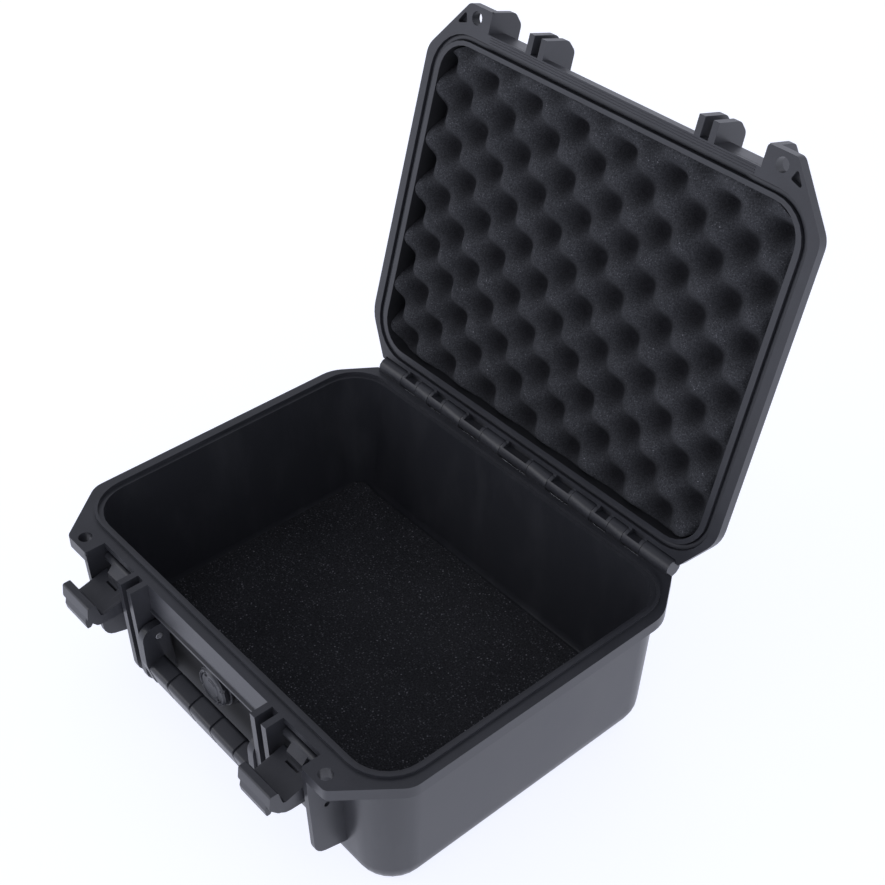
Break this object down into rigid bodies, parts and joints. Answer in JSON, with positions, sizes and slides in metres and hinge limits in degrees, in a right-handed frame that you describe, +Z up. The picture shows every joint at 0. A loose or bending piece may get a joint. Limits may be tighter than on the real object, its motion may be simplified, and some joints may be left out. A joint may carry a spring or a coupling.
{
  "type": "hard equipment case",
  "caption": "Small moulded hard case, open: gasketed tub, hinged lid with egg-crate foam, hook latches, folding bail handle and purge valve.",
  "frame": {"origin": "centre of the base's flat bottom face", "axes": "+Z up, +X to the right seen from the latches, +Y towards the hinge"},
  "size_m": [0.258, 0.3048, 0.2921],
  "materials": {
    "moulded_black": "fine moulded texture",
    "grey_foam": "open-cell foam",
    "egg_foam": "egg-crate open-cell foam",
    "black_rubber": "soft matt rubber",
    "seal_rubber": "extruded cord",
    "membrane": "woven filter disc",
    "steel": "drawn wire"
  },
  "bodies": {
    "base": {"base_shell": "moulded_black", "base_foam": "grey_foam", "hinge_pin_left": "steel", "hinge_pin_right": "steel", "handle_pin_left": "steel", "handle_pin_right": "steel", "left_latch_pin": "steel", "right_latch_pin": "steel", "valve_body": "moulded_black", "valve_gasket": "black_rubber", "valve_nut": "moulded_black", "valve_membrane": "membrane", "valve_stem_oring": "black_rubber"},
    "lid": {"lid_shell": "moulded_black", "lid_seal": "seal_rubber", "lid_foam": "egg_foam"},
    "handle": {"handle": "moulded_black"},
    "left_latch": {"left_latch": "moulded_black"},
    "right_latch": {"right_latch": "moulded_black"},
    "valve_knob": {"valve_knob": "moulded_black"}
  },
  "joints": [
    {"name": "lid_hinge", "type": "hinge", "parent": "base", "child": "lid", "pos_m": [0, 0.1021, 0.0877], "axis": [1, 0, 0], "range_deg": [0, 105.5]},
    {"name": "right_latch_hinge", "type": "hinge", "parent": "base", "child": "right_latch", "pos_m": [0.0749, -0.098, 0.0778], "axis": [1, 0, 0], "range_deg": [-97, 0]},
    {"name": "left_latch_hinge", "type": "hinge", "parent": "base", "child": "left_latch", "pos_m": [-0.0749, -0.098, 0.0778], "axis": [1, 0, 0], "range_deg": [-97, 0]},
    {"name": "handle_swing", "type": "hinge", "parent": "base", "child": "handle", "pos_m": [0, -0.0993, 0.0553], "axis": [1, 0, 0], "range_deg": [-90, 0]},
    {"name": "valve_turn", "type": "hinge", "parent": "base", "child": "valve_knob", "pos_m": [0, -0.097, 0.054], "axis": [0, -1, 0], "range_deg": [0, 180]}
  ]
}
